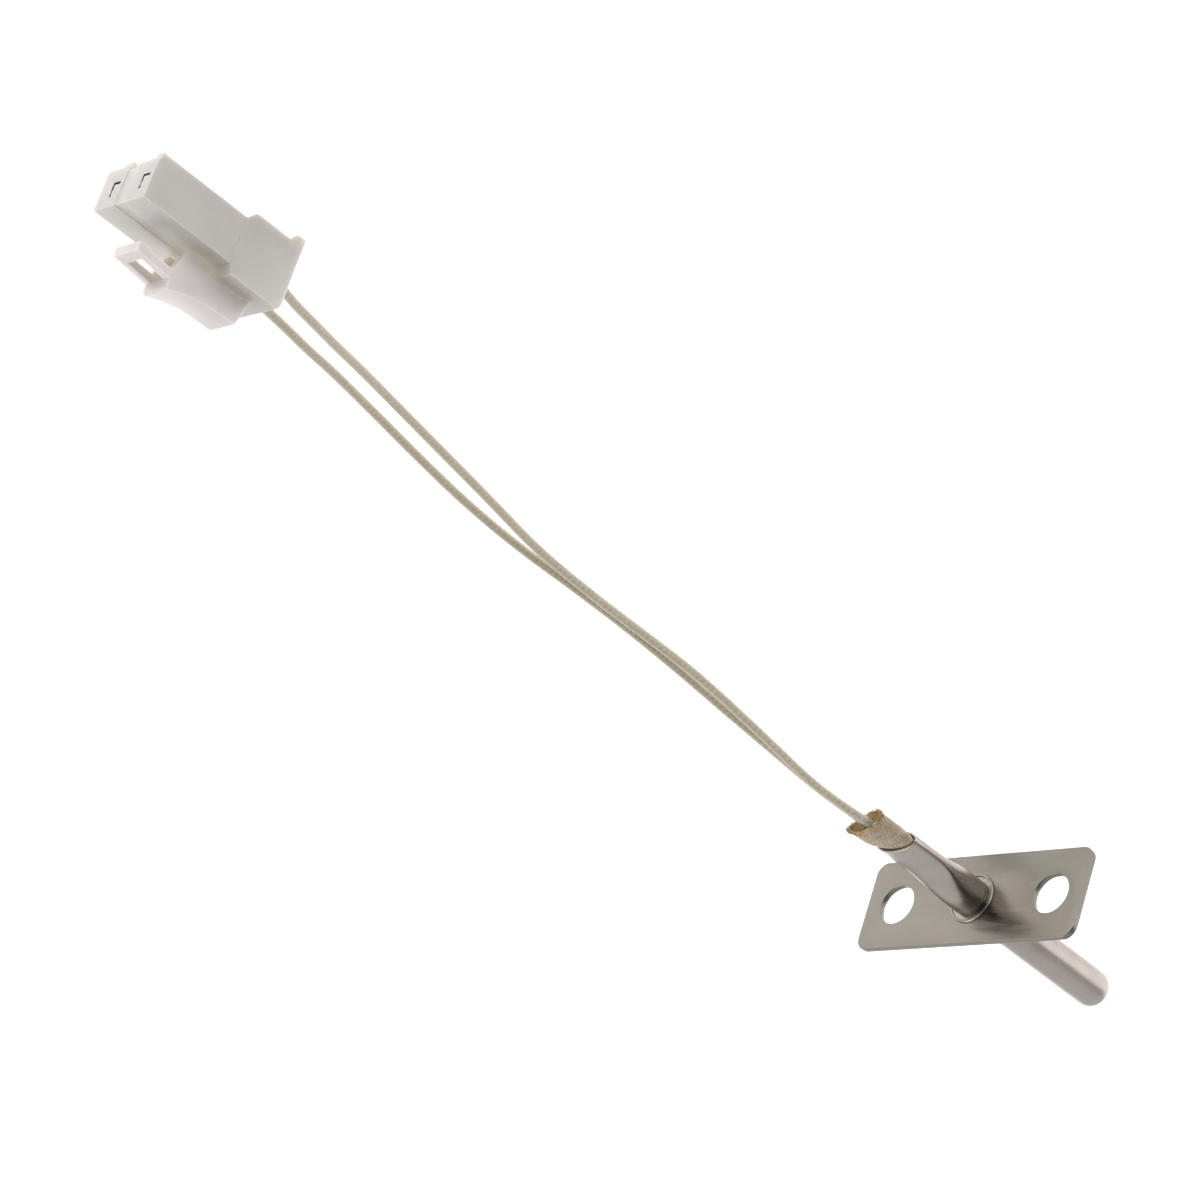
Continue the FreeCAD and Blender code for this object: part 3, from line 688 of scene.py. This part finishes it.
# How uneven the cut is, in millimetres. Then, as shares, where along the open part the browning begins, and
# how strong it is away from the two ears and on the inside.
RAGGED = 0.16
BROWN_FROM = 0.72
BROWN_AWAY_FROM_EARS = 0.3
BROWN_INSIDE = 0.7

# The loose yarns at the cut end: how many, and how many knots and corners each is drawn with.
FRAY_YARNS = 240
FRAY_KNOTS = 5
FRAY_CORNERS = 5

# How far round from an ear they spread, in radians, and how far back from the cut they start, how long they
# are and their radius, in millimetres.
FRAY_SPREAD = 0.55
FRAY_BACK = (0.2, 0.7)
FRAY_LENGTH = (0.4, 0.95)
FRAY_RADIUS = (0.035, 0.06)

# How much they head along the hose and outwards, how much they stray and droop, and how much they thin.
FRAY_FORWARD = (0.5, 1.0)
FRAY_OUTWARD = (-0.35, 0.75)
FRAY_STRAY = 0.25
FRAY_DROOP = 0.3
FRAY_THINNING = 0.5


def between(low, high, share):
    """The value that share of the way from low to high."""
    return low + (high - low) * share


def sleeve_section(share, angle, inset):
    """A point (y, z) of the sleeve's outline, share of the way from the tube's mouth to its cut end."""
    eased = share * (2 - share)
    half_wide = between(SLEEVE_MOUTH_HALF_WIDE, SLEEVE_END_HALF_WIDE, eased) - inset
    half_high = between(SLEEVE_MOUTH_HALF_HIGH, SLEEVE_END_HALF_HIGH, eased) - inset
    roll = math.radians(SLEEVE_ROLL) * eased
    across = half_wide * math.cos(angle)
    up = half_high * math.sin(angle)
    swing = between(SLEEVE_MOUTH_Y, SLEEVE_END_Y, eased)
    y = across * math.cos(roll) - up * math.sin(roll) + swing
    return y, across * math.sin(roll) + up * math.cos(roll)


def ear_length(angle):
    """How much farther than the rest the hose's two sides reach at its cut end."""
    longest = SLEEVE_NEAR_EAR if math.cos(angle) > 0 else SLEEVE_FAR_EAR
    return longest * abs(math.cos(angle)) ** 3


def browning(open_share, angle, outside):
    """How brown the hose is, 0 to 1: most at its two ears, on its outside."""
    begun = min(max((open_share - BROWN_FROM) / (1 - BROWN_FROM), 0), 1) ** 2
    at_an_ear = abs(math.cos(angle))
    browned = begun * between(BROWN_AWAY_FROM_EARS, 1, at_an_ear)
    return browned if outside else BROWN_INSIDE * browned * at_an_ear**4


def woven_sleeve():
    """The hose: an outside with a weave and a plain inside, joined at both ends."""
    chance = random.Random(7)
    rows = round((SLEEVE_START - SLEEVE_END) / SLEEVE_STEP)
    ragged = [chance.uniform(-RAGGED, RAGGED) for _ in range(SLEEVE_AROUND)]
    vertices = []
    frays = []
    yarns = []
    for outside, inset in ((True, 0.0), (False, SLEEVE_WALL)):
        for row in range(rows + 1):
            for step in range(SLEEVE_AROUND):
                angle = math.tau * step / SLEEVE_AROUND
                share = row / rows
                reach = SLEEVE_START - SLEEVE_END + (ear_length(angle) + ragged[step]) * share**4
                x = SLEEVE_START - reach * share
                open_share = min(max((SLEEVE_MOUTH - x) / (SLEEVE_MOUTH - SLEEVE_END), 0), 1)
                height, upper = braid_height(angle, -x, WEAVE_BUNDLES, WEAVE_TURN_PER_MM)
                relief = WEAVE_RELIEF * (1 - height) if outside else 0
                vertices.append((x, *sleeve_section(open_share, angle, inset + relief)))
                frays.append(browning(open_share, angle, outside))
                # Painted shade: the weave is darker where a yarn lies low or under the other bundle.
                yarns.append(between(upper, height, SHADE_BY_HEIGHT) if outside else 1.0)
    faces = []
    layer_size = (rows + 1) * SLEEVE_AROUND
    for layer in range(2):
        for row in range(rows):
            for step in range(SLEEVE_AROUND):
                after = (step + 1) % SLEEVE_AROUND
                low = layer * layer_size + row * SLEEVE_AROUND
                high = low + SLEEVE_AROUND
                face = (low + step, high + step, high + after, low + after)
                faces.append(tuple(reversed(face)) if layer else face)
    for row in (0, rows):
        for step in range(SLEEVE_AROUND):
            after = (step + 1) % SLEEVE_AROUND
            outer = row * SLEEVE_AROUND
            inner = layer_size + outer
            face = (outer + step, outer + after, inner + after, inner + step)
            faces.append(tuple(reversed(face)) if row else face)
    piece = mesh_piece("woven_sleeve_hose", vertices, faces)
    paint(piece, "fray", frays)
    paint(piece, "yarn", yarns)
    piece.data.materials.append(glass_hose)
    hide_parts("woven_sleeve")
    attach(piece, "probe")


def frayed_ends():
    """Short loose yarns at the sleeve's cut end, most of them at its two ears."""
    chance = random.Random(11)
    vertices = []
    faces = []
    for _ in range(FRAY_YARNS):
        angle = chance.choice((0, math.pi)) + chance.gauss(0, FRAY_SPREAD)
        y, z = sleeve_section(1.0, angle, chance.uniform(0.0, SLEEVE_WALL))
        start = Vector((SLEEVE_END - ear_length(angle) + chance.uniform(*FRAY_BACK), y, z))
        outward = Vector((0, y, z)).normalized()
        forward = Vector((-1, 0, 0)) * chance.uniform(*FRAY_FORWARD)
        heading = forward + outward * chance.uniform(*FRAY_OUTWARD)
        heading += Vector((0, chance.gauss(0, FRAY_STRAY), chance.gauss(0, FRAY_STRAY)))
        heading.normalize()
        droop = Vector([chance.gauss(0, FRAY_DROOP) for _ in range(3)])
        length = chance.uniform(*FRAY_LENGTH)
        thick = chance.uniform(*FRAY_RADIUS)
        side_way = heading.orthogonal().normalized()
        other_way = heading.cross(side_way)
        first = len(vertices)
        for knot in range(FRAY_KNOTS):
            share = knot / (FRAY_KNOTS - 1)
            middle = start + heading * length * share + droop * length * share * share / 2
            narrow = thick * (1 - FRAY_THINNING * share)
            for corner in range(FRAY_CORNERS):
                turn = math.tau * corner / FRAY_CORNERS
                outwards = side_way * math.cos(turn) + other_way * math.sin(turn)
                vertices.append(middle + outwards * narrow)
        faces.extend(ring_faces(first, FRAY_KNOTS, FRAY_CORNERS))
        last = first + (FRAY_KNOTS - 1) * FRAY_CORNERS
        faces.append(tuple(first + corner for corner in reversed(range(FRAY_CORNERS))))
        faces.append(tuple(last + corner for corner in range(FRAY_CORNERS)))
    piece = mesh_piece("woven_sleeve_fray", vertices, faces)
    piece.data.materials.append(frayed_yarn())
    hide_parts("woven_sleeve")
    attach(piece, "probe")


woven_sleeve()
frayed_ends()

# ---------------------------------------------------------------- floor and light

FLOOR_REACH = 4.0
FLOOR_WHITE = (0.9, 0.9, 0.9, 1)
FLOOR_ROUGHNESS = 0.9
FLOOR_GLOW = 0.8
FLOOR_GLOW_COLOUR = (1, 1, 1, 1)


def make_floor():
    """A white floor under the object that gives off some light of its own."""
    data = bpy.data.meshes.new("floor")
    low = cad_low.z
    corners = [
        (-FLOOR_REACH, -FLOOR_REACH, low),
        (FLOOR_REACH, -FLOOR_REACH, low),
        (FLOOR_REACH, FLOOR_REACH, low),
        (-FLOOR_REACH, FLOOR_REACH, low),
    ]
    data.from_pydata(corners, [], [(0, 1, 2, 3)])
    floor = bpy.data.objects.new("floor", data)
    bpy.context.scene.collection.objects.link(floor)
    material = bpy.data.materials.new("floor")
    material.use_nodes = True
    shader = material.node_tree.nodes["Principled BSDF"]
    shader.inputs["Base Color"].default_value = FLOOR_WHITE
    shader.inputs["Roughness"].default_value = FLOOR_ROUGHNESS
    shader.inputs["Emission Color"].default_value = FLOOR_GLOW_COLOUR
    shader.inputs["Emission Strength"].default_value = FLOOR_GLOW
    data.materials.append(material)


# The studio's dark side and its backdrop: the direction of each one's middle, and the cosines of the angles
# from it at which each begins and is full.
DARK_SIDE = direction(200, 8)
DARK_SIDE_SPAN = (0.25, 0.8)
DARK_COLOUR = (0.03, 0.024, 0.02, 1)
ROOM_COLOUR = (0.95, 0.95, 0.96, 1)
BACKDROP = direction(36, 0)
BACKDROP_SPAN = (0.94, 0.99)
BACKDROP_BRIGHTNESS = 2.0
ROOM_BRIGHTNESS = 0.85

# Near the object's middle.
LAMP_AIM = Vector((-70, 0, 0)) * MM


def by_facing(tree, towards, span, away_value, facing_value):
    """One value where one looks away from a direction, another where one looks towards it, eased between."""
    looking = tree.nodes.new("ShaderNodeTexCoord").outputs["Generated"]
    facing = tree.nodes.new("ShaderNodeVectorMath")
    facing.operation = "DOT_PRODUCT"
    facing.inputs[1].default_value = towards
    tree.links.new(looking, facing.inputs[0])
    eased = tree.nodes.new("ShaderNodeMapRange")
    eased.interpolation_type = "SMOOTHSTEP"
    eased.inputs["From Min"].default_value = span[0]
    eased.inputs["From Max"].default_value = span[1]
    eased.inputs["To Min"].default_value = away_value
    eased.inputs["To Max"].default_value = facing_value
    tree.links.new(facing.outputs["Value"], eased.inputs["Value"])
    return eased.outputs["Result"]


def make_studio():
    """A white room with a bright backdrop and a dark side, where the photographer stands."""
    world = bpy.data.worlds.new("studio")
    world.use_nodes = True
    tree = world.node_tree
    background = tree.nodes["Background"]
    ramp = tree.nodes.new("ShaderNodeValToRGB")
    ramp.color_ramp.elements[0].color = ROOM_COLOUR
    ramp.color_ramp.elements[1].color = DARK_COLOUR
    tree.links.new(by_facing(tree, DARK_SIDE, DARK_SIDE_SPAN, 0, 1), ramp.inputs["Fac"])
    tree.links.new(ramp.outputs["Color"], background.inputs["Color"])
    strength = by_facing(tree, BACKDROP, BACKDROP_SPAN, ROOM_BRIGHTNESS, BACKDROP_BRIGHTNESS)
    tree.links.new(strength, background.inputs["Strength"])
    bpy.context.scene.world = world


def soft_light(name, azimuth, elevation, distance, size, power):
    """A round lamp in that direction, aimed at a place near the object's middle."""
    data = bpy.data.lights.new(name, "AREA")
    data.shape = "DISK"
    data.size = size
    data.energy = power
    lamp = bpy.data.objects.new(name, data)
    towards = direction(azimuth, elevation)
    lamp.location = LAMP_AIM + towards * distance
    lamp.rotation_euler = towards.to_track_quat("Z", "Y").to_euler()
    bpy.context.scene.collection.objects.link(lamp)


make_floor()
make_studio()
soft_light("overhead", azimuth=330, elevation=62, distance=1.2, size=0.9, power=6.0)
bpy.context.scene.view_settings.view_transform = "Standard"
